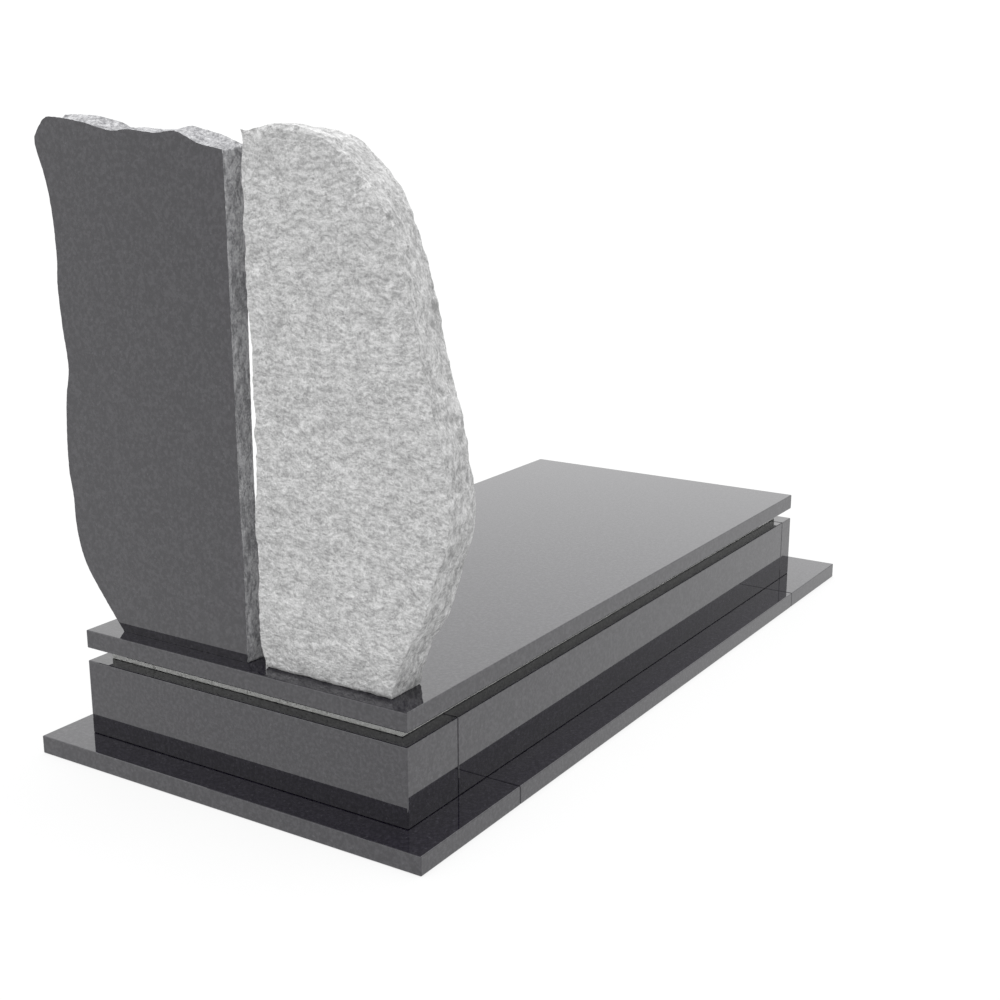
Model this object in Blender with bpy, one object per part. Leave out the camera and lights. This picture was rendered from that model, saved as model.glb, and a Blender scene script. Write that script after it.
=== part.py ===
# Single grave monument in granite: a surround on the ground, an upright frame, a recessed bed,
# a cover slab, and a headstone made of two standing stones.
#
# Metres, +Z up. The origin is on the ground, in the middle of the surround. The headstones stand
# at the +Y end, and the foot end, where a visitor stands, faces -Y.

from bisect import bisect_left

import bmesh
import bpy
from mathutils import Vector, noise

# Surround: thin slabs lying on the ground around the frame
SURROUND_WIDTH = 1.000
SURROUND_LENGTH = 2.110
SURROUND_THICKNESS = 0.040
SURROUND_BACK_DEPTH = 0.342
SURROUND_FRONT_DEPTH = 0.327
SURROUND_SIDE_WIDTH = 0.160

# Frame: upright walls standing on the surround
FRAME_SIDE_MARGIN = 0.080
FRAME_BACK_MARGIN = 0.072
FRAME_FRONT_MARGIN = 0.158
FRAME_HEIGHT = 0.166
BACK_BLOCK_DEPTH = 0.168
FRONT_PANEL_THICKNESS = 0.062
SIDE_PANEL_THICKNESS = 0.060

# Bed and cover: the bed is set in from the frame and lifts the cover clear of it
BED_THICKNESS = 0.028
BED_INSET = 0.035
COVER_THICKNESS = 0.040

# Headstones: a dark sawn slab and a light split stone, side by side on the cover
HEADSTONE_BACK_MARGIN = 0.037
DARK_WIDTH = 0.506
DARK_HEIGHT = 1.058
DARK_THICKNESS = 0.050
LIGHT_WIDTH = 0.443
LIGHT_HEIGHT = 1.050
LIGHT_THICKNESS = 0.097
STONE_GAP = 0.044

# Fits and edges
SEAM = 0.001
REST_GAP = 0.0003
ARRIS = 0.002
ARRIS_SEGMENTS = 2

# Pitched edge of the dark slab: the step between points, and the height and size of its bulges
EDGE_STEP = 0.014
EDGE_LAYERS = 4
EDGE_BULGE = 0.006
EDGE_BULGE_SIZE = 0.110
EDGE_CHIP = 0.0035
EDGE_CHIP_SIZE = 0.026
EDGE_BULGE_MEAN_SHARE = 0.3

# Split surface of the light stone: the same, with the share of a bulge that moves its outline,
# the passes that round its corners, and how much its front narrows and drops at the top
SPLIT_STEP = 0.024
SPLIT_SWELL = 0.007
SPLIT_SWELL_SIZE = 0.125
SPLIT_CHIP = 0.004
SPLIT_CHIP_SIZE = 0.050
SPLIT_CHIP_DEPTH = 3
SPLIT_OUTLINE_SHARE = 0.3
SPLIT_ROUNDING = 1
LIGHT_TOP_TAPER_SHARE = 0.045
LIGHT_TOP_DROP_SHARE = 0.014

# Points that a smooth curve is measured by
FINE_STEPS = 1000

# Levels, from the ground up
FRAME_BASE = SURROUND_THICKNESS + REST_GAP
FRAME_TOP = FRAME_BASE + FRAME_HEIGHT
BED_BASE = FRAME_TOP + REST_GAP
COVER_BASE = BED_BASE + BED_THICKNESS + REST_GAP
COVER_TOP = COVER_BASE + COVER_THICKNESS
STONE_BASE = COVER_TOP + REST_GAP

# Places along and across the monument
SURROUND_BACK = SURROUND_LENGTH / 2
SURROUND_FRONT = -SURROUND_LENGTH / 2
FRAME_BACK = SURROUND_BACK - FRAME_BACK_MARGIN
FRAME_FRONT = SURROUND_FRONT + FRAME_FRONT_MARGIN
FRAME_WIDTH = SURROUND_WIDTH - 2 * FRAME_SIDE_MARGIN
STONE_BACK = FRAME_BACK - HEADSTONE_BACK_MARGIN

# Outline of the dark slab, seen from behind, as shares of its width and height. It starts at the
# foot of the sloping edge, climbs the wavy edge, and comes back along the top to the straight edge.
DARK_OUTLINE_SHARES = (
    (0.682, 0.000), (0.794, 0.067), (0.882, 0.128), (0.921, 0.194), (0.928, 0.265),
    (0.943, 0.319), (0.939, 0.397), (0.925, 0.467), (0.902, 0.515), (0.906, 0.559),
    (0.918, 0.600), (0.929, 0.684), (0.921, 0.736), (0.929, 0.819), (0.953, 0.883),
    (0.988, 0.932), (1.000, 0.957), (0.978, 0.976), (0.934, 0.997), (0.898, 0.999),
    (0.835, 0.997), (0.712, 0.989), (0.576, 0.975), (0.482, 0.978), (0.338, 0.972),
    (0.270, 0.976), (0.225, 0.975), (0.178, 0.966), (0.112, 0.954), (0.000, 0.946),
)

# How far the dark slab's top rises from its back arris to its front one, along the top: places as
# shares of its width, and rises as shares of its height
DARK_TOP_START_SHARE = 0.940
DARK_TOP_RISE_SHARES = (
    (0.000, 0.007), (0.040, 0.013), (0.100, 0.018), (0.150, 0.016), (0.200, 0.009),
    (0.330, 0.005), (0.460, 0.002), (0.550, 0.004), (0.600, 0.012), (0.680, 0.010),
    (0.760, 0.009), (0.860, 0.005), (0.950, 0.002), (1.000, 0.000),
)

# The dark slab's side along the gap: places up it as shares of its height, and how far its back
# and its front arris stand off the straight there, as shares of the slab's thickness
DARK_SIDE_SHARES = (
    (0.000, -0.040, -0.120), (0.125, -0.072, -0.040), (0.184, -0.074, 0.020),
    (0.300, -0.018, 0.090), (0.440, -0.002, 0.090), (0.590, 0.000, 0.052),
    (0.750, 0.010, 0.008), (0.860, 0.006, -0.022), (0.946, 0.042, -0.110),
)

# Sides of the light stone, as shares of its width, counted from the gap, and of its height
LIGHT_INNER_SHARES = (
    (0.011, 0.000), (-0.006, 0.035), (-0.015, 0.075), (-0.010, 0.150), (-0.012, 0.250),
    (0.003, 0.350), (0.003, 0.430), (0.003, 0.510), (0.000, 0.575), (0.004, 0.635),
    (-0.006, 0.700), (-0.010, 0.815), (-0.008, 0.880), (-0.018, 0.918), (-0.006, 0.938),
    (0.008, 0.960), (-0.004, 0.988),
)
LIGHT_OUTER_SHARES = (
    (0.710, 0.000), (0.786, 0.089), (0.872, 0.143), (0.914, 0.192), (0.938, 0.230),
    (0.968, 0.258), (0.998, 0.285), (1.012, 0.315), (1.020, 0.355), (1.007, 0.400),
    (0.983, 0.475), (0.925, 0.560), (0.882, 0.625), (0.834, 0.721), (0.777, 0.805),
    (0.725, 0.859), (0.668, 0.897), (0.620, 0.919), (0.555, 0.945), (0.450, 0.977),
)
LIGHT_TOP_SHARES = (
    (-0.004, 0.988), (0.047, 0.991), (0.106, 0.998), (0.182, 1.001), (0.243, 0.999),
    (0.313, 0.995), (0.378, 0.988), (0.450, 0.977),
)


def clear_scene():
    for old in list(bpy.data.objects):
        bpy.data.objects.remove(old, do_unlink=True)


def stone_material(name, colour, roughness):
    material = bpy.data.materials.new(name)
    material.use_nodes = True
    shader = material.node_tree.nodes["Principled BSDF"]
    shader.inputs["Base Color"].default_value = (*colour, 1.0)
    shader.inputs["Roughness"].default_value = roughness
    shader.inputs["Metallic"].default_value = 0.0
    return material


def make_object(name, bm, material):
    """Puts a finished mesh in the scene as one named piece, with its faces turned outwards."""
    bmesh.ops.recalc_face_normals(bm, faces=bm.faces)
    mesh = bpy.data.meshes.new(name)
    bm.to_mesh(mesh)
    bm.free()
    mesh.materials.append(material)
    piece = bpy.data.objects.new(name, mesh)
    bpy.context.scene.collection.objects.link(piece)
    return piece


def slab(name, low, high, material):
    """A sawn slab between two corners, with a small arris taken off every edge."""
    low, high = Vector(low), Vector(high)
    bm = bmesh.new()
    bmesh.ops.create_cube(bm, size=1.0)
    bmesh.ops.scale(bm, vec=high - low, verts=bm.verts)
    bmesh.ops.translate(bm, vec=(low + high) / 2, verts=bm.verts)
    bmesh.ops.bevel(
        bm,
        geom=bm.edges[:],
        offset=ARRIS,
        offset_type="OFFSET",
        affect="EDGES",
        segments=ARRIS_SEGMENTS,
        profile=0.5,
        clamp_overlap=True,
    )
    return make_object(name, bm, material)


def curve_point(points, place):
    """A point of the smooth curve through the points, where place runs from 0 to 1."""
    spans = len(points) - 1
    span = min(int(place * spans), spans - 1)
    local = place * spans - span
    before, start, end, after = (
        Vector(points[min(max(span + step, 0), spans)]) for step in (-1, 0, 1, 2)
    )
    return 0.5 * (
        2 * start
        + (end - before) * local
        + (2 * before - 5 * start + 4 * end - after) * local**2
        + (3 * start - before - 3 * end + after) * local**3
    )


def even_points(points, step):
    """The curve through the points as a run of points that lie about one step apart."""
    fine = [curve_point(points, i / FINE_STEPS) for i in range(FINE_STEPS + 1)]
    lengths = [0.0]
    for start, end in zip(fine, fine[1:]):
        lengths.append(lengths[-1] + (end - start).length)
    count = max(2, round(lengths[-1] / step))
    return [fine[bisect_left(lengths, lengths[-1] * i / count)] for i in range(count)] + [fine[-1]]


def build_surround(material):
    half = SURROUND_WIDTH / 2
    inner = half - SURROUND_SIDE_WIDTH
    back_joint = SURROUND_BACK - SURROUND_BACK_DEPTH
    front_joint = SURROUND_FRONT + SURROUND_FRONT_DEPTH
    top = SURROUND_THICKNESS
    slab("surround_back_slab", (-half, back_joint, 0), (half, SURROUND_BACK, top), material)
    slab("surround_front_slab", (-half, SURROUND_FRONT, 0), (half, front_joint, top), material)
    for name, low, high in (("left", -half, -inner), ("right", inner, half)):
        slab(
            f"surround_{name}_slab",
            (low, front_joint + SEAM, 0),
            (high, back_joint - SEAM, top),
            material,
        )


def build_frame(material):
    half = FRAME_WIDTH / 2
    inner = half - SIDE_PANEL_THICKNESS
    block_front = FRAME_BACK - BACK_BLOCK_DEPTH
    panel_back = FRAME_FRONT + FRONT_PANEL_THICKNESS
    slab(
        "frame_back_block",
        (-half, block_front, FRAME_BASE),
        (half, FRAME_BACK, FRAME_TOP),
        material,
    )
    slab(
        "frame_front_panel",
        (-half, FRAME_FRONT, FRAME_BASE),
        (half, panel_back, FRAME_TOP),
        material,
    )
    for name, low, high in (("left", -half, -inner), ("right", inner, half)):
        slab(
            f"frame_{name}_panel",
            (low, panel_back + SEAM, FRAME_BASE),
            (high, block_front - SEAM, FRAME_TOP),
            material,
        )


def build_bed(material):
    half = FRAME_WIDTH / 2 - BED_INSET
    slab(
        "recessed_bed_slab",
        (-half, FRAME_FRONT + BED_INSET, BED_BASE),
        (half, FRAME_BACK - BED_INSET, BED_BASE + BED_THICKNESS),
        material,
    )


def build_cover(material):
    half = FRAME_WIDTH / 2
    slab("cover_slab", (-half, FRAME_FRONT, COVER_BASE), (half, FRAME_BACK, COVER_TOP), material)


def outward(points, index):
    """The direction that points away from the stone at one point of its outline."""
    before = points[max(index - 1, 0)]
    after = points[min(index + 1, len(points) - 1)]
    along = (after - before).normalized()
    return Vector((along.y, -along.x))


def bumps(place, size, row=0):
    """Smooth bumps between -1 and 1, about one size apart. Another row gives other bumps."""
    return noise.noise(place / size + Vector((0, row, 0)))


def broken_offset(place, depth):
    """How far a pitched edge stands out at a place on the outline and a depth in the slab."""
    share = depth / DARK_THICKNESS
    spot = Vector((place.x, depth, place.y))
    bulge = EDGE_BULGE * (EDGE_BULGE_MEAN_SHARE + bumps(spot, EDGE_BULGE_SIZE))
    chip = EDGE_CHIP * bumps(spot, EDGE_CHIP_SIZE, row=7)
    return 4 * share * (1 - share) * (bulge + chip)


def top_rise(place, depth):
    """How far the top of the dark slab rises at a place, from nothing at the back arris."""
    across = place.x / DARK_WIDTH
    if place.y < DARK_TOP_START_SHARE * DARK_HEIGHT:
        return 0.0
    for (start, low), (end, high) in zip(DARK_TOP_RISE_SHARES, DARK_TOP_RISE_SHARES[1:]):
        if across <= end:
            break
    share = low + (high - low) * (across - start) / (end - start)
    return depth / DARK_THICKNESS * DARK_HEIGHT * share


def side_point(shares, depth):
    """A point of the dark slab's side along the gap, at one depth in the slab."""
    up, back, front = shares
    lean = back + (front - back) * depth / DARK_THICKNESS
    return Vector((lean * DARK_THICKNESS, STONE_BACK - depth, STONE_BASE + up * DARK_HEIGHT))


def build_dark_headstone(material):
    """A slab with flat faces, and a nearly straight side along the gap. Its wavy edge and its top
    are pitched."""
    sized = [(x * DARK_WIDTH, z * DARK_HEIGHT) for x, z in DARK_OUTLINE_SHARES]
    broken = even_points(sized, EDGE_STEP)
    bm = bmesh.new()
    loops = []
    for layer in range(EDGE_LAYERS + 1):
        depth = layer / EDGE_LAYERS * DARK_THICKNESS
        side = [side_point(shares, depth) for shares in DARK_SIDE_SHARES]
        loop = [bm.verts.new(side[0])]
        for index, place in enumerate(broken):
            ends = min(1, index / 2, (len(broken) - 1 - index) / 2)
            out = outward(broken, index) * broken_offset(place, depth) * ends
            high = STONE_BASE + place.y + out.y + top_rise(place, depth)
            loop.append(bm.verts.new((place.x + out.x, STONE_BACK - depth, high)))
        loop[-1].co.x = side[-1].x
        loop += [bm.verts.new(point) for point in reversed(side[1:-1])]
        loops.append(loop)
    for near, far in zip(loops, loops[1:]):
        for i in range(len(near)):
            following = (i + 1) % len(near)
            bm.faces.new((near[i], near[following], far[following], far[i]))
    bm.faces.new(loops[0])
    bm.faces.new(reversed(loops[-1]))
    return make_object("dark_headstone", bm, material)


def at_share(run, share):
    """The point at a share of the way along an evenly spaced run."""
    return run[min(round(share * (len(run) - 1)), len(run) - 1)]


def light_place(sides, across, up):
    """A point of the light stone's face, blended from its inner side, outer side and top."""
    inner, outer, top = sides
    level = at_share(inner, up).lerp(at_share(outer, up), across)
    straight_top = top[0].lerp(top[-1], across)
    return level + (at_share(top, across) - straight_top) * up


def split_offset(place):
    """How far a split face stands out from its mean plane at a place in the stone."""
    swell = SPLIT_SWELL * bumps(place, SPLIT_SWELL_SIZE)
    facet = abs(bumps(place, SPLIT_CHIP_SIZE, row=3))
    return swell + SPLIT_CHIP * (1 - SPLIT_CHIP_DEPTH * facet)


def build_light_headstone(material):
    """A split stone, rough all over, on a flat sawn foot."""
    shares = (LIGHT_INNER_SHARES, LIGHT_OUTER_SHARES, LIGHT_TOP_SHARES)
    sides = [even_points(side, 1 / FINE_STEPS) for side in shares]
    sizes = (LIGHT_WIDTH, LIGHT_THICKNESS, LIGHT_HEIGHT)
    cuts = [max(2, round(size / SPLIT_STEP)) for size in sizes]
    bm = bmesh.new()
    bmesh.ops.create_cube(bm, size=1.0)
    for axis, cut in enumerate(cuts):
        along = [
            edge
            for edge in bm.edges
            if abs(edge.verts[0].co[axis] - edge.verts[1].co[axis]) > 0.5
        ]
        bmesh.ops.subdivide_edges(bm, edges=along, cuts=cut - 1, use_grid_fill=True)
    foot = [vert for vert in bm.verts if vert.co.z < -0.499]
    outer = [vert for vert in bm.verts if vert.co.x > -0.499 and vert.co.z > -0.499]
    for vert in bm.verts:
        across, deep, up = (value + 0.5 for value in vert.co)
        place = light_place(sides, across, up)
        taper = 1 - LIGHT_TOP_TAPER_SHARE * deep * up**2
        drop = LIGHT_TOP_DROP_SHARE * deep * up**2 * (1 - across)
        vert.co = Vector((
            -STONE_GAP - place.x * taper * LIGHT_WIDTH,
            STONE_BACK - deep * LIGHT_THICKNESS,
            STONE_BASE + (place.y - drop) * LIGHT_HEIGHT,
        ))
    for _ in range(SPLIT_ROUNDING):
        bmesh.ops.smooth_vert(
            bm, verts=outer, factor=0.5, use_axis_x=True, use_axis_y=True, use_axis_z=True
        )
    bmesh.ops.recalc_face_normals(bm, faces=bm.faces)
    bm.normal_update()
    moves = [(vert, vert.normal * split_offset(vert.co)) for vert in bm.verts]
    for vert, move in moves:
        vert.co += move * Vector((SPLIT_OUTLINE_SHARE, 1, SPLIT_OUTLINE_SHARE))
    for vert in foot:
        vert.co.z = STONE_BASE
    for vert in bm.verts:
        vert.co.z = max(vert.co.z, STONE_BASE)
    return make_object("light_headstone", bm, material)


def main():
    clear_scene()
    polished = stone_material("polished_dark_granite", (0.032, 0.032, 0.037), 0.06)
    bed = stone_material("grey_bed_granite", (0.270, 0.280, 0.255), 0.55)
    split = stone_material("light_split_granite", (0.520, 0.520, 0.520), 0.85)
    build_surround(polished)
    build_frame(polished)
    build_bed(bed)
    build_cover(polished)
    build_dark_headstone(polished)
    build_light_headstone(split)


main()
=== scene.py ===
# %% [markdown]
# A single-grave monument in granite
#
# The real object is a set of stone slabs laid on each other: a surround on the ground, four
# frame walls, a recessed bed, a cover slab and two standing headstones. The sawn and polished
# slabs are already exact in the CAD model, so they stay as they are and get a finish. The two
# headstones have broken surfaces, which need far finer meshes than CAD should carry, so they are
# made again here from copies of their CAD solids.

from math import cos, radians, sin

import bmesh
import bpy
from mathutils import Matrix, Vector, noise


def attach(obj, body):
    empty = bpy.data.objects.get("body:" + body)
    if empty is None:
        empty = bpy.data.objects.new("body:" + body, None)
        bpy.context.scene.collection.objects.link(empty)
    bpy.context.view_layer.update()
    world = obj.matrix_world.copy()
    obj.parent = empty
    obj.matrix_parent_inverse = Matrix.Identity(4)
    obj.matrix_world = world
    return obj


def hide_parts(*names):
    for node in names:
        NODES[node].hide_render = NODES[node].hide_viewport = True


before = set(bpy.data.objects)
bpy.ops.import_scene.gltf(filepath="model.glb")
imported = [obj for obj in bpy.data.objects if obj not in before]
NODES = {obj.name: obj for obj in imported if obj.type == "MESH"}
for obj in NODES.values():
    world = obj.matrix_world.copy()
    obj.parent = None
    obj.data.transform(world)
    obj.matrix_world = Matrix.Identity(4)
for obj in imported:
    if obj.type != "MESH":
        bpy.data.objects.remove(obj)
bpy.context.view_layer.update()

# %% [markdown]
# The camera stands behind the headstones and to one side, about as high as their tops, and looks
# down along the grave to its foot. Its direction is kept as a bearing and a downward tilt, which
# are easier to adjust than Euler angles. Blender's camera looks along its own -Z, so the direction
# is turned into a rotation by a track quaternion.

# %% Camera
CAMERA_PLACE = Vector((-1.9206, 3.0249, 1.3505))
CAMERA_BEARING = radians(212.43)
CAMERA_TILT = radians(14.85)
CAMERA_LENS_MM = 53.39
CAMERA_SENSOR_MM = 36.0
CAMERA_SEES_TO = 200.0


def add_camera():
    data = bpy.data.cameras.new("camera")
    data.lens = CAMERA_LENS_MM
    data.sensor_width = CAMERA_SENSOR_MM
    data.clip_end = CAMERA_SEES_TO
    camera = bpy.data.objects.new("camera", data)
    bpy.context.scene.collection.objects.link(camera)
    ahead = Vector((
        -sin(CAMERA_BEARING) * cos(CAMERA_TILT),
        cos(CAMERA_BEARING) * cos(CAMERA_TILT),
        -sin(CAMERA_TILT),
    ))
    camera.location = CAMERA_PLACE
    camera.rotation_euler = ahead.to_track_quat("-Z", "Y").to_euler()
    bpy.context.scene.camera = camera
    print("camera looks along", [round(value, 3) for value in ahead])


add_camera()

# %% [markdown]
# Polished stone shows its surroundings more than its own colour, so the studio matters as much
# as the material. A white dome gives the clean reflections of a light tent. It is a little dimmer
# at the horizon than higher up, so the upright faces, which mirror the horizon and the floor, stay
# darker than the tops.

# %% Dome
SKY_AT_HORIZON = 1.05
SKY_HIGH_UP = 1.35
SKY_RISE_ENDS = 0.24


def grey(tone):
    """A neutral colour without transparency, as colour sockets take it."""
    return (tone, tone, tone, 1.0)


def add_dome():
    world = bpy.data.worlds.new("dome")
    world.use_nodes = True
    tree = world.node_tree
    background = tree.nodes["Background"]
    background.inputs["Color"].default_value = grey(1.0)
    direction = tree.nodes.new("ShaderNodeTexCoord")
    parts = tree.nodes.new("ShaderNodeSeparateXYZ")
    rise = tree.nodes.new("ShaderNodeMapRange")
    rise.interpolation_type = "SMOOTHSTEP"
    rise.inputs["From Max"].default_value = SKY_RISE_ENDS
    rise.inputs["To Min"].default_value = SKY_AT_HORIZON
    rise.inputs["To Max"].default_value = SKY_HIGH_UP
    tree.links.new(direction.outputs["Generated"], parts.inputs[0])
    tree.links.new(parts.outputs["Z"], rise.inputs["Value"])
    tree.links.new(rise.outputs[0], background.inputs["Strength"])
    bpy.context.scene.world = world
    bpy.context.scene.view_settings.view_transform = "Standard"
    print("dome of", SKY_AT_HORIZON, "at the horizon and", SKY_HIGH_UP, "higher up")


add_dome()

# %% [markdown]
# A sun with a very wide disc adds light from straight above without a hard shadow. It is hidden
# from reflections, or its disc would show as a pale round patch in the polished slabs when they
# are seen from above.

# %% Sun
SUN_STRENGTH = 2.0
SUN_DISC = radians(40)


def add_sun():
    data = bpy.data.lights.new("wide_sun", "SUN")
    data.energy = SUN_STRENGTH
    data.angle = SUN_DISC
    sun = bpy.data.objects.new("wide_sun", data)
    sun.visible_glossy = False
    bpy.context.scene.collection.objects.link(sun)
    print("sun of strength", SUN_STRENGTH)


add_sun()

# %% [markdown]
# The floor is about as bright as the horizon, so that no line shows between them, neither behind
# the object nor mirrored in it. Most of its light is its own glow, which keeps the shadows on it
# faint. It lies half a millimetre low, so that it never shares a plane with the slabs' undersides.

# %% Floor
FLOOR_SIZE = 80.0
FLOOR_DROP = 0.0005
FLOOR_TONE = 0.12
FLOOR_GLOW = 0.80


def add_floor():
    bm = bmesh.new()
    bmesh.ops.create_grid(bm, x_segments=1, y_segments=1, size=FLOOR_SIZE / 2)
    bmesh.ops.translate(bm, vec=(0, 0, -FLOOR_DROP), verts=bm.verts)
    mesh = bpy.data.meshes.new("studio_floor")
    bm.to_mesh(mesh)
    bm.free()
    material = bpy.data.materials.new("pale_floor")
    material.use_nodes = True
    shader = material.node_tree.nodes["Principled BSDF"]
    shader.inputs["Base Color"].default_value = grey(FLOOR_TONE)
    shader.inputs["Roughness"].default_value = 1.0
    shader.inputs["Specular IOR Level"].default_value = 0.0
    shader.inputs["Emission Color"].default_value = grey(1.0)
    shader.inputs["Emission Strength"].default_value = FLOOR_GLOW
    mesh.materials.append(material)
    floor = bpy.data.objects.new("studio_floor", mesh)
    bpy.context.scene.collection.objects.link(floor)
    print("floor", FLOOR_SIZE, "m wide")


add_floor()

# %% [markdown]
# Node trees are long to write out by hand, so a few helpers make a node, set its values and link
# it in one line. Each input takes a plain value or another node's output. The Mix node has its own
# sockets for each kind of data, all with the same names, so its colour sockets go by number.

# %% Helpers for node trees
MIX_INPUTS = (0, 6, 7)
MIX_RESULT = 2


def make_group(name, inputs, outputs):
    """A node group with its sockets. Inputs are (name, kind, value), outputs (name, kind)."""
    group = bpy.data.node_groups.new(name, "ShaderNodeTree")
    for title, kind, value in inputs:
        socket = group.interface.new_socket(title, in_out="INPUT", socket_type=kind)
        socket.default_value = value
    for title, kind in outputs:
        group.interface.new_socket(title, in_out="OUTPUT", socket_type=kind)
    return group, group.nodes.new("NodeGroupInput"), group.nodes.new("NodeGroupOutput")


def add_node(tree, kind, values=None, **settings):
    """A node with its settings, and with its unlinked inputs set by name."""
    node = tree.nodes.new(kind)
    for name, value in settings.items():
        setattr(node, name, value)
    for name, value in (values or {}).items():
        node.inputs[name].default_value = value
    return node


def feed(tree, socket, source):
    """Gives an input a plain value, or links it to another node's output."""
    if isinstance(source, (int, float, tuple)):
        socket.default_value = source
    else:
        tree.links.new(source, socket)


def calculate(tree, operation, first, second, clamp=False):
    """A Math node."""
    node = add_node(tree, "ShaderNodeMath", operation=operation, use_clamp=clamp)
    feed(tree, node.inputs[0], first)
    feed(tree, node.inputs[1], second)
    return node.outputs[0]


def change_vector(tree, operation, vector, change):
    """A Vector Math node that scales by a number, or adds or multiplies by another vector."""
    node = add_node(tree, "ShaderNodeVectorMath", operation=operation)
    feed(tree, node.inputs[0], vector)
    feed(tree, node.inputs["Scale" if operation == "SCALE" else 1], change)
    return node.outputs[0]


def blend_colours(tree, share, first, second, blend_type="MIX"):
    """A Mix node for colours."""
    node = add_node(tree, "ShaderNodeMix", data_type="RGBA", blend_type=blend_type)
    for place, source in zip(MIX_INPUTS, (share, first, second)):
        feed(tree, node.inputs[place], source)
    return node.outputs[MIX_RESULT]


def map_range(tree, value, low, high, new_low=0.0, new_high=1.0):
    """A Map Range node that starts and ends softly."""
    limits = {"From Min": low, "From Max": high, "To Min": new_low, "To Max": new_high}
    node = add_node(tree, "ShaderNodeMapRange", limits, interpolation_type="SMOOTHSTEP")
    feed(tree, node.inputs["Value"], value)
    return node.outputs[0]


print("helpers for node trees are ready")

# %% [markdown]
# Object coordinates are in metres. Divided by the size of a grain, they count grains, so a texture
# of scale 1 has features of about that size, whatever the material. Textures are read at such
# places, so a finish can be made coarser or finer by one number.


# %% Helpers for textures
def in_grains(tree, size):
    """Object coordinates counted in grains, for a grain size that is a socket in metres."""
    place = add_node(tree, "ShaderNodeTexCoord")
    per_metre = calculate(tree, "DIVIDE", 1.0, size)
    return change_vector(tree, "SCALE", place.outputs["Object"], per_metre)


def add_noise(tree, place, scale, detail, roughness):
    """A noise texture. Detail adds finer layers, and roughness makes them stronger."""
    values = {"Scale": scale, "Detail": detail, "Roughness": roughness}
    texture = add_node(tree, "ShaderNodeTexNoise", values)
    feed(tree, texture.inputs["Vector"], place)
    return texture


print("helpers for textures are ready")

# %% [markdown]
# Granite is a mosaic of mineral grains. Every finish of it, polished or broken, shows the same
# grains, so one node group draws them for all four materials. Voronoi cells stand for the grains.
# Each cell has random numbers: the cells with a low first number become flecks, the second says
# how strong each fleck is, and the third makes each grain a little darker or lighter. A slow noise
# clouds the body colour, as the minerals are never spread evenly. The group also puts out how far
# each point is shaded, for a finish in which the darker grains mirror less.

# %% Granite grains, as a node group
FLECK_CORE = 0.25
FLECK_EDGE = 0.70
GRAIN_CONTRAST = 0.7
CLOUD_LOW = 0.30
CLOUD_HIGH = 0.62


def make_grain_group():
    group, given, made = make_group(
        "granite_grains",
        [
            ("Grain Size", "NodeSocketFloat", 0.004),
            ("Body", "NodeSocketColor", grey(0.1)),
            ("Shade", "NodeSocketColor", grey(0.05)),
            ("Fleck", "NodeSocketColor", grey(0.5)),
            ("Fleck Share", "NodeSocketFloat", 0.1),
        ],
        [("Color", "NodeSocketColor"), ("Shade Share", "NodeSocketFloat")],
    )
    place = in_grains(group, given.outputs["Grain Size"])
    cells = add_node(group, "ShaderNodeTexVoronoi", {"Scale": 1.0, "Randomness": 1.0})
    feed(group, cells.inputs["Vector"], place)
    cloud = add_noise(group, place, scale=0.6, detail=3.0, roughness=0.6)
    parts = add_node(group, "ShaderNodeSeparateColor")
    feed(group, parts.inputs[0], cells.outputs["Color"])
    first, second, third = parts.outputs
    chosen = calculate(group, "LESS_THAN", first, given.outputs["Fleck Share"])
    strength = calculate(group, "MULTIPLY", second, second)
    core = map_range(group, cells.outputs["Distance"], FLECK_CORE, FLECK_EDGE, 1.0, 0.0)
    flecks = calculate(group, "MULTIPLY", calculate(group, "MULTIPLY", chosen, strength), core)
    off_middle = calculate(group, "SUBTRACT", third, 0.5)
    grain = calculate(group, "MULTIPLY", off_middle, GRAIN_CONTRAST)
    clouds = map_range(group, cloud.outputs[0], CLOUD_LOW, CLOUD_HIGH)
    shade = calculate(group, "ADD", clouds, grain, clamp=True)
    body = blend_colours(group, shade, given.outputs["Body"], given.outputs["Shade"])
    colour = blend_colours(group, flecks, body, given.outputs["Fleck"])
    feed(group, made.inputs["Color"], colour)
    feed(group, made.inputs["Shade Share"], shade)
    return group


GRAINS = make_grain_group()
print("node group:", GRAINS.name)

# %% [markdown]
# A face that was split or pitched with a chisel is covered in short wavy strokes, where the stone
# tore along its grains. The second group draws them as a noise that is squeezed across the strokes
# and bent by a slower noise, with fine grit and broad patches added. Strokes and grit also give
# the height, and the colour follows it as painted shade: the hollows beside a stroke are painted
# darker and the raised strokes paler. The broad patches are the stone's own uneven tone.

# %% Broken stone, as a node group
STROKE_BEND = 2.0
GRIT_SHARE = 0.45
PATCH_SHARE = 0.45
DARKEST_TONE = 0.635
LIGHTEST_TONE = 1.265


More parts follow.
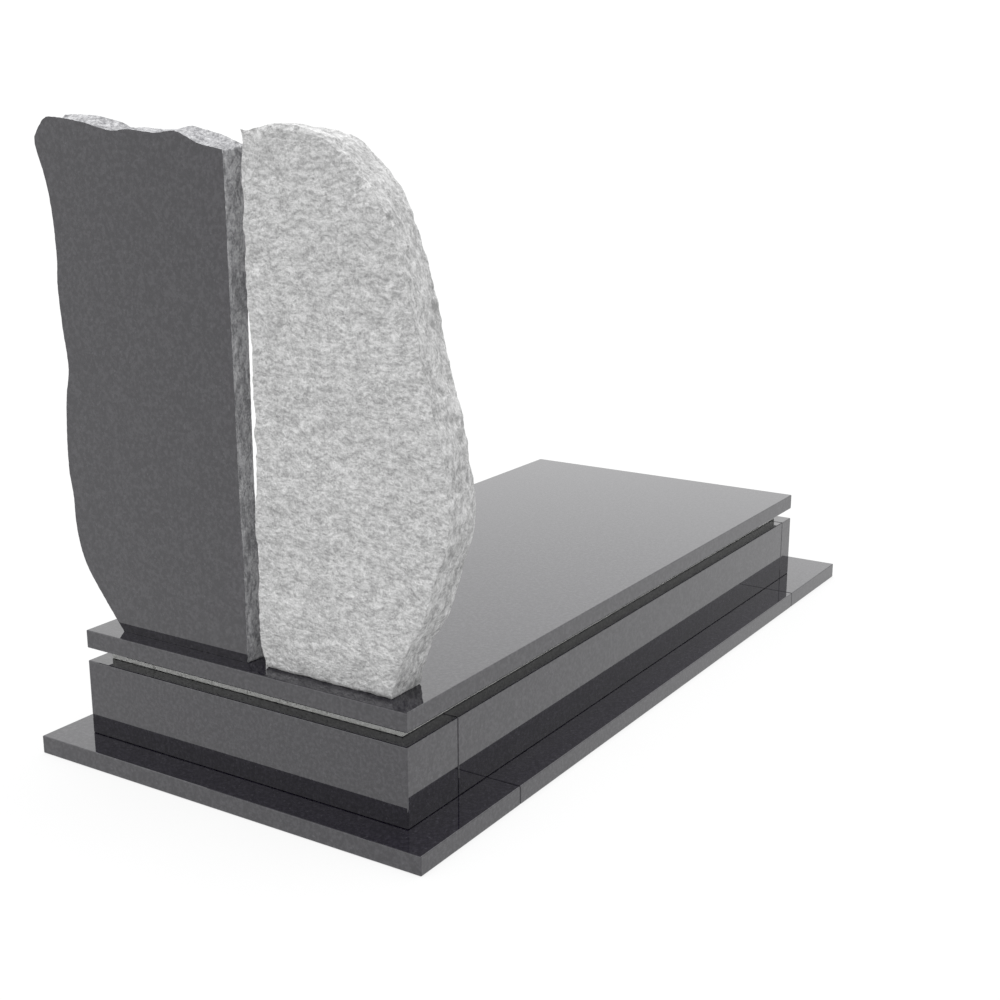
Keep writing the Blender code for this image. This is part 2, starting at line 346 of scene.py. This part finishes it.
def make_broken_group():
    group, given, made = make_group(
        "broken_face",
        [
            ("Stroke Size", "NodeSocketFloat", 0.012),
            ("Squeeze", "NodeSocketVector", (1.0, 1.0, 2.0)),
            ("Dark", "NodeSocketColor", grey(0.2)),
            ("Light", "NodeSocketColor", grey(0.5)),
        ],
        [("Color", "NodeSocketColor"), ("Height", "NodeSocketFloat")],
    )
    place = in_grains(group, given.outputs["Stroke Size"])
    bend = add_noise(group, place, scale=0.30, detail=2.0, roughness=0.5)
    shift = change_vector(group, "SCALE", bend.outputs["Color"], STROKE_BEND)
    bent = change_vector(group, "ADD", place, shift)
    squeezed = change_vector(group, "MULTIPLY", bent, given.outputs["Squeeze"])
    strokes = add_noise(group, squeezed, scale=1.0, detail=3.0, roughness=0.66)
    grit = add_noise(group, place, scale=3.0, detail=1.0, roughness=0.5)
    patches = add_noise(group, squeezed, scale=0.38, detail=1.0, roughness=0.5)
    fine = calculate(group, "MULTIPLY", grit.outputs[0], GRIT_SHARE)
    height = calculate(group, "ADD", strokes.outputs[0], fine)
    broad = calculate(group, "MULTIPLY", patches.outputs[0], PATCH_SHARE)
    # The colour follows the height as painted shade: hollows darker, raised strokes paler. The
    # broad patches are the stone's own tone.
    tone = calculate(group, "ADD", height, broad)
    share = map_range(group, tone, DARKEST_TONE, LIGHTEST_TONE)
    colour = blend_colours(group, share, given.outputs["Dark"], given.outputs["Light"])
    feed(group, made.inputs["Color"], colour)
    feed(group, made.inputs["Height"], height)
    return group


BROKEN = make_broken_group()
print("node group:", BROKEN.name)

# %% [markdown]
# Every finish starts from a Principled BSDF with its own roughness and index of refraction, and
# places the node groups with its own values. On broken stone the strokes shade the grains, so the
# two colours are multiplied, and the height of the strokes bumps the surface.


# %% Helpers for materials
def start_material(name, roughness, ior):
    material = bpy.data.materials.new(name)
    material.use_nodes = True
    shader = material.node_tree.nodes["Principled BSDF"]
    shader.inputs["Roughness"].default_value = roughness
    shader.inputs["IOR"].default_value = ior
    return material, material.node_tree, shader


def place_group(tree, group, **values):
    """A group node with its inputs set by name, where an underscore stands for a space."""
    titles = {name.replace("_", " "): value for name, value in values.items()}
    return add_node(tree, "ShaderNodeGroup", titles, node_tree=group)


def add_broken_finish(tree, shader, grains, strokes, height, bump_height):
    """Colours the shader by grains and strokes, and bumps it by the height of the strokes."""
    colour = blend_colours(tree, 1.0, grains.outputs["Color"], strokes, blend_type="MULTIPLY")
    feed(tree, shader.inputs["Base Color"], colour)
    bump = add_node(tree, "ShaderNodeBump", {"Strength": 1.0, "Distance": bump_height})
    feed(tree, bump.inputs["Height"], height)
    feed(tree, shader.inputs["Normal"], bump.outputs[0])


print("helpers for materials are ready")

# %% [markdown]
# The polished granite is nearly black by itself. Its grey is the mirrored studio, so its index of
# refraction, which sets how strongly it mirrors, is what makes it light or dark. Its darker grains
# mirror a little less. Metallic does that here, because over a nearly black colour it dims the
# reflection.

# %% Polished dark granite
DULLED_SHARE = 0.17


def make_polished():
    material, tree, shader = start_material("polished_dark_granite", roughness=0.035, ior=1.92)
    grains = place_group(
        tree,
        GRAINS,
        Grain_Size=0.0050,
        Body=(0.0060, 0.0046, 0.0104, 1.0),
        Shade=(0.0015, 0.0004, 0.0048, 1.0),
        Fleck=(0.0220, 0.0205, 0.0280, 1.0),
        Fleck_Share=0.24,
    )
    dulled = calculate(tree, "MULTIPLY", grains.outputs["Shade Share"], DULLED_SHARE)
    feed(tree, shader.inputs["Base Color"], grains.outputs["Color"])
    feed(tree, shader.inputs["Metallic"], dulled)
    return material


POLISHED = make_polished()
print("material:", POLISHED.name)

# %% [markdown]
# Split granite is pale, because every torn grain scatters light. On the light stone's two faces
# and its top the strokes lie across. On its sides, which were dressed with a chisel, they run up
# and down, and the sides are painted a little darker, as painted shade where less light falls on
# them. Two materials would meet in a hard line, so one material blends both kinds of stroke. An
# attribute of the mesh says how far each point belongs to a side.

# %% Light split granite
# The attribute marks the chiselled sides, which the material also paints darker as shade.
SIDE_ATTRIBUTE = "chiselled_and_shaded_side"
SPLIT_BUMP = 0.0022


def make_split():
    material, tree, shader = start_material("light_split_granite", roughness=0.85, ior=1.45)
    grains = place_group(
        tree,
        GRAINS,
        Grain_Size=0.005,
        Body=grey(0.62),
        Shade=grey(0.54),
        Fleck=grey(0.41),
        Fleck_Share=0.25,
    )
    across = place_group(
        tree,
        BROKEN,
        Stroke_Size=0.013,
        Squeeze=(1.0, 1.0, 2.3),
        Dark=grey(0.47),
        Light=grey(1.0),
    )
    # The sides' darker Dark and Light colours are painted shade; only the upright strokes are the
    # chisel's.
    upright = place_group(
        tree,
        BROKEN,
        Stroke_Size=0.014,
        Squeeze=(1.4, 1.4, 0.7),
        Dark=grey(0.38),
        Light=grey(0.90),
    )
    side = add_node(tree, "ShaderNodeAttribute", attribute_name=SIDE_ATTRIBUTE).outputs["Fac"]
    strokes = blend_colours(tree, side, across.outputs["Color"], upright.outputs["Color"])
    step = calculate(tree, "SUBTRACT", upright.outputs["Height"], across.outputs["Height"])
    side_step = calculate(tree, "MULTIPLY", step, side)
    height = calculate(tree, "ADD", across.outputs["Height"], side_step)
    add_broken_finish(tree, shader, grains, strokes, height, SPLIT_BUMP)
    return material


SPLIT = make_split()
print("material:", SPLIT.name)

# %% [markdown]
# The dark slab's edge was pitched off with a chisel. It is the same stone as the polished faces,
# but torn, so it looks grey and not black. Its strokes run up and down the sides.

# %% Pitched dark granite
PITCHED_BUMP = 0.002


def make_pitched():
    material, tree, shader = start_material("pitched_dark_granite", roughness=0.75, ior=1.45)
    grains = place_group(
        tree,
        GRAINS,
        Grain_Size=0.005,
        Body=(0.50, 0.50, 0.51, 1.0),
        Shade=(0.42, 0.42, 0.43, 1.0),
        Fleck=grey(0.60),
        Fleck_Share=0.15,
    )
    broken = place_group(
        tree,
        BROKEN,
        Stroke_Size=0.014,
        Squeeze=(1.5, 1.5, 0.7),
        Dark=(0.30, 0.30, 0.31, 1.0),
        Light=grey(1.0),
    )
    strokes = broken.outputs["Color"]
    add_broken_finish(tree, shader, grains, strokes, broken.outputs["Height"], PITCHED_BUMP)
    return material


PITCHED = make_pitched()
print("material:", PITCHED.name)

# %% [markdown]
# The bed is sawn grey granite without a polish. Only a strip of it shows under the cover, so the
# grains alone are enough.


# %% Grey bed granite
def make_bed():
    material, tree, shader = start_material("grey_bed_granite", roughness=0.55, ior=1.5)
    grains = place_group(
        tree,
        GRAINS,
        Grain_Size=0.004,
        Body=(0.58, 0.585, 0.57, 1.0),
        Shade=(0.44, 0.445, 0.43, 1.0),
        Fleck=(0.22, 0.22, 0.21, 1.0),
        Fleck_Share=0.20,
    )
    feed(tree, shader.inputs["Base Color"], grains.outputs["Color"])
    return material


BED = make_bed()
print("material:", BED.name)

# %% [markdown]
# The sawn slabs are exact in CAD, down to the small arris on every edge, so each keeps its CAD
# mesh. Only the material in its slot changes.

# %% Finish on the sawn slabs
polished_slabs = [
    name for name in NODES if name.startswith(("surround", "frame")) or name == "cover_slab"
]
for name in polished_slabs:
    NODES[name].material_slots[0].material = POLISHED
NODES["recessed_bed_slab"].material_slots[0].material = BED
print("polished slabs:", ", ".join(polished_slabs))

# %% [markdown]
# Each headstone starts as a copy of its CAD solid, so it keeps the CAD outline and size. A CAD
# node's mesh is loose triangles, so their shared corners are merged first. The triangles are then
# joined into quads, whatever angle they meet at, because quads divide evenly.

# %% Copies of CAD solids
MERGE_DISTANCE = 0.00002
ANY_ANGLE = 3.14


def merged_copy(name):
    """A bmesh of a CAD node, with the shared corners of its triangles merged."""
    bm = bmesh.new()
    bm.from_mesh(NODES[name].data)
    bmesh.ops.remove_doubles(bm, verts=bm.verts, dist=MERGE_DISTANCE)
    return bm


def join_into_quads(bm, keep_sharp):
    bmesh.ops.join_triangles(
        bm,
        faces=bm.faces,
        cmp_sharp=keep_sharp,
        angle_face_threshold=ANY_ANGLE,
        angle_shape_threshold=ANY_ANGLE,
    )


def finish_piece(name, bm, materials, replaced):
    """Puts a piece in the scene where its CAD node was."""
    mesh = bpy.data.meshes.new(name)
    bm.to_mesh(mesh)
    bm.free()
    for material in materials:
        mesh.materials.append(material)
    piece = bpy.data.objects.new(name, mesh)
    bpy.context.scene.collection.objects.link(piece)
    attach(piece, "root")
    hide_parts(replaced)
    print(name, len(mesh.polygons), "faces")


print("helpers for copies are ready")

# %% [markdown]
# A chisel leaves shallow hollows side by side, with ridges between them. The distance to the
# nearest of many scattered points does the same: it is zero in the middle of a hollow and largest
# on the ridge between two. For finer marks a layered noise is used. It swings both ways about
# zero, so a value that it seldom passes is taken off, and then it removes stone nearly everywhere.
# Blender's vector noise starts from the clock until it is given a seed, so it gets one here, and
# every run makes the same stone.

# %% Chisel marks
NOISE_SEED = 1
SCALLOP_REACH = 0.75
SELDOM_PASSED = 0.5
LAYER_FADE = 1.0
LAYER_FINENESS = 2.0


def scallop(place, size):
    """Depth of the hollow that a chisel left, from 1 in its middle down to 0 at its reach."""
    nearest = noise.voronoi(Vector(a / b for a, b in zip(place, size)))[0][0]
    return max(0.0, 1.0 - (nearest / SCALLOP_REACH) ** 2)


def layered_noise(place, layers):
    """Noise in layers, each twice as fine and half as strong as the one before."""
    return noise.fractal(place, LAYER_FADE, LAYER_FINENESS, layers)


noise.seed_set(NOISE_SEED)
print("helpers for chisel marks are ready, with noise seed", NOISE_SEED)

# %% [markdown]
# The dark headstone is a polished slab with a pitched edge. Its two faces are taken off the copy,
# which leaves a band round the stone. Tall edges are halved until none is left, so that the sides
# are divided finely too.

# %% Band of the dark headstone
DARK_CUTS = 3
TALLEST_EDGE = 0.020
FLAT_FACE_LEAN = 0.999


def tall_edges(bm):
    return [
        edge
        for edge in bm.edges
        if abs(edge.verts[0].co.z - edge.verts[1].co.z) > TALLEST_EDGE
    ]


def make_band():
    """The edge of the dark slab, finely divided, without the slab's two faces."""
    bm = merged_copy("dark_headstone")
    flat = [face for face in bm.faces if abs(face.normal.y) > FLAT_FACE_LEAN]
    bmesh.ops.delete(bm, geom=flat, context="FACES")
    join_into_quads(bm, keep_sharp=False)
    tall = tall_edges(bm)
    while tall:
        bmesh.ops.subdivide_edges(bm, edges=tall, cuts=1, use_grid_fill=True)
        tall = tall_edges(bm)
    bmesh.ops.subdivide_edges(bm, edges=bm.edges[:], cuts=DARK_CUTS, use_grid_fill=True)
    bmesh.ops.recalc_face_normals(bm, faces=bm.faces)
    return bm


dark_band = make_band()
print("band of the dark headstone:", len(dark_band.faces), "faces")

# %% [markdown]
# The band is smoothed, and then each point moves along its normal, but never along the slab's
# thickness, so both rims stay in the planes of the faces. The side next to the light stone is
# straighter on the real slab, so the chisel goes only a quarter as deep there. The rims get small
# nicks instead of hollows, and the foot stays on the cover.

# %% Pitched surface of the dark headstone
SMOOTHING_FACTOR = 0.5
DARK_PASSES = 3
FOOT_BAND = 0.0005
CHIP_SIZE = 0.030
CHIP_DEPTH = 0.0024
DARK_SCALLOP = (0.040, 0.014, 0.030)
DARK_SCALLOP_DEPTH = 0.0042
STRAIGHT_SIDE_LEAN = 0.98
STRAIGHT_SIDE_SHARE = 0.25
NICK_SIZE = 0.008
NICK_DEPTH = 0.0008


def smooth_points(bm, points, along_y):
    bmesh.ops.smooth_vert(
        bm,
        verts=points,
        factor=SMOOTHING_FACTOR,
        use_axis_x=True,
        use_axis_y=along_y,
        use_axis_z=True,
    )


def pitched_move(place, on_rim, on_straight_side):
    """How far a point of the band moves outwards. It is nearly always negative."""
    if on_rim:
        return NICK_DEPTH * (noise.noise(place / NICK_SIZE) - SELDOM_PASSED)
    chip = CHIP_DEPTH * (layered_noise(place / CHIP_SIZE, layers=3) - SELDOM_PASSED)
    hollow = DARK_SCALLOP_DEPTH * scallop(place, DARK_SCALLOP)
    return (chip - hollow) * (STRAIGHT_SIDE_SHARE if on_straight_side else 1.0)


def pitch_band(bm):
    foot = min(vert.co.z for vert in bm.verts)
    rim = {vert for edge in bm.edges if edge.is_boundary for vert in edge.verts}
    inside = [vert for vert in bm.verts if vert not in rim and vert.co.z > foot + FOOT_BAND]
    for _ in range(DARK_PASSES):
        smooth_points(bm, inside, along_y=False)
    bm.normal_update()
    moves = []
    for vert in bm.verts:
        if vert.co.z < foot + FOOT_BAND:
            continue
        normal = Vector((vert.normal.x, 0.0, vert.normal.z)).normalized()
        on_straight_side = normal.x < -STRAIGHT_SIDE_LEAN
        moves.append((vert, normal * pitched_move(vert.co, vert in rim, on_straight_side)))
    for vert, move in moves:
        vert.co += move
    print("pitched", len(moves), "points")


pitch_band(dark_band)

# %% [markdown]
# The band's two open rims are filled again by one flat polygon each, so the faces are truly flat
# and mirror cleanly. The faces take the first material, polished, and the band the second.


# %% Dark headstone
def fill_faces(bm):
    for face in bm.faces:
        face.material_index = 1
        face.smooth = True
    rims = [edge for edge in bm.edges if edge.is_boundary]
    for face in bmesh.ops.holes_fill(bm, edges=rims, sides=0)["faces"]:
        face.material_index = 0
        face.smooth = False
    bmesh.ops.recalc_face_normals(bm, faces=bm.faces)


fill_faces(dark_band)
finish_piece(
    "dark_stone", dark_band, (POLISHED, PITCHED), "dark_headstone"
)

# %% [markdown]
# The light headstone is split all over. Edges of its copy where two faces meet sharply are marked,
# and no triangles are joined across them, so every arris stays where it is. The copy is divided to
# about four millimetres and smoothed, so the CAD facets melt into one surface. The foot doesn't
# move, and the points of an arris are smoothed only along it.

# %% Smoothed copy of the light headstone
SHARP_ANGLE = radians(38)
LIGHT_CUTS = 5
LIGHT_PASSES = 10


def make_block():
    """The light stone in finely divided quads, with its sharp edges marked as not smooth."""
    bm = merged_copy("light_headstone")
    for edge in bm.edges:
        edge.smooth = edge.calc_face_angle(0.0) < SHARP_ANGLE
    join_into_quads(bm, keep_sharp=True)
    bmesh.ops.subdivide_edges(bm, edges=bm.edges[:], cuts=LIGHT_CUTS, use_grid_fill=True)
    return bm


def smooth_block(bm, foot, arrises):
    """Smooths the faces without moving the foot, and each arris only along itself."""
    free = [vert for vert in bm.verts if vert not in arrises and vert.co.z > foot + FOOT_BAND]
    for _ in range(LIGHT_PASSES):
        smooth_points(bm, free, along_y=True)
        middles = {}
        for vert in arrises:
            others = [edge.other_vert(vert) for edge in vert.link_edges if not edge.smooth]
            if len(others) == 2 and vert.co.z > foot + FOOT_BAND:
                middles[vert] = (others[0].co + others[1].co) / 2
        for vert, middle in middles.items():
            vert.co = vert.co.lerp(middle, SMOOTHING_FACTOR)
    bm.normal_update()


light_block = make_block()
light_foot = min(vert.co.z for vert in light_block.verts)
light_arrises = {vert for edge in light_block.edges if not edge.smooth for vert in edge.verts}
smooth_block(light_block, light_foot, light_arrises)
print("light headstone:", len(light_block.faces), "faces,", len(light_arrises), "arris points")

# %% [markdown]
# The material has to know where the chiselled sides are, which it also paints darker as shade. A
# point belongs to one if it faces neither forwards nor backwards, nor straight up. A little noise
# makes the border ragged, as a mason leaves it. The shares go into the mesh as an attribute, which
# the material reads by name.

# %% Chiselled sides of the light headstone
SIDE_STARTS = 0.25
SIDE_FULL = 0.60
TOP_LEAN = 0.85
SIDE_RAGGED_SIZE = 0.016
SIDE_RAGGED_SHARE = 0.25


def side_share(vert):
    """How much a point belongs to a chiselled side, painted darker as shade, from 0 to 1, with a
    ragged border.
    """
    if vert.normal.z > TOP_LEAN:
        return 0.0
    ragged = SIDE_RAGGED_SHARE * noise.noise(vert.co / SIDE_RAGGED_SIZE)
    share = (1 - abs(vert.normal.y) + ragged - SIDE_STARTS) / (SIDE_FULL - SIDE_STARTS)
    return min(1.0, max(0.0, share))


def mark_sides(bm):
    side = bm.verts.layers.float.new(SIDE_ATTRIBUTE)
    for vert in bm.verts:
        vert[side] = side_share(vert)
    print("points on the sides:", sum(vert[side] > 0.0 for vert in bm.verts))


mark_sides(light_block)

# %% [markdown]
# Three reliefs then move the points along their normals: broad shallow scoops, finer ridges that
# bend slowly, as the strokes in the material do, and on the sides the scallops of the chisel. They
# are weaker on an arris and fade out towards the foot.

# %% Relief of the light headstone
SCOOP_SIZE = 0.045
SCOOP_DEPTH = 0.0022
RIDGE_SIZE = 0.015
RIDGE_SQUEEZE = 2
RIDGE_LEVEL = 0.3
RIDGE_DEPTH = 0.0011
BEND_SIZE = 0.060
BEND_REACH = 0.018
LIGHT_SCALLOP = (0.024, 0.028, 0.022)
LIGHT_SCALLOP_DEPTH = 0.0045
ARRIS_SHARE = 0.25
FOOT_FADE = 0.010


def split_move(place, sideways):
    """How far a point of the light stone moves outwards. It is nearly always negative."""
    scoop = layered_noise(place / SCOOP_SIZE, layers=2) - SELDOM_PASSED
    bent = place + BEND_REACH * noise.noise_vector(place / BEND_SIZE)
    squeezed = Vector((bent.x, bent.y, RIDGE_SQUEEZE * bent.z)) / RIDGE_SIZE
    ridge = layered_noise(squeezed, layers=2) - RIDGE_LEVEL
    hollow = LIGHT_SCALLOP_DEPTH * scallop(place, LIGHT_SCALLOP) * sideways
    return SCOOP_DEPTH * scoop + RIDGE_DEPTH * ridge - hollow


def split_block(bm, foot, arrises):
    moves = []
    for vert in bm.verts:
        fade = min(1.0, (vert.co.z - foot) / FOOT_FADE)
        share = ARRIS_SHARE if vert in arrises else 1.0
        sideways = 1 - abs(vert.normal.y)
        moves.append((vert, vert.normal * split_move(vert.co, sideways) * fade * share))
    for vert, move in moves:
        vert.co += move
        vert.co.z = max(vert.co.z, foot)
    print("split", len(moves), "points")


split_block(light_block, light_foot, light_arrises)

# %% [markdown]
# The sole is drawn in a little towards its middle. That leaves a dark joint line between the stone
# and the cover, as a bed of mortar or glue does.

# %% Light headstone
FOOT_JOINT = (0.012, 0.08)


def draw_in_sole(bm, foot):
    sole = [vert for vert in bm.verts if vert.co.z < foot + FOOT_BAND]
    middle = sum((vert.co for vert in sole), Vector()) / len(sole)
    for vert in sole:
        vert.co.x += FOOT_JOINT[0] * (middle.x - vert.co.x)
        vert.co.y += FOOT_JOINT[1] * (middle.y - vert.co.y)


draw_in_sole(light_block, light_foot)
for face in light_block.faces:
    face.smooth = True
bmesh.ops.recalc_face_normals(light_block, faces=light_block.faces)
finish_piece("light_stone", light_block, (SPLIT,), "light_headstone")
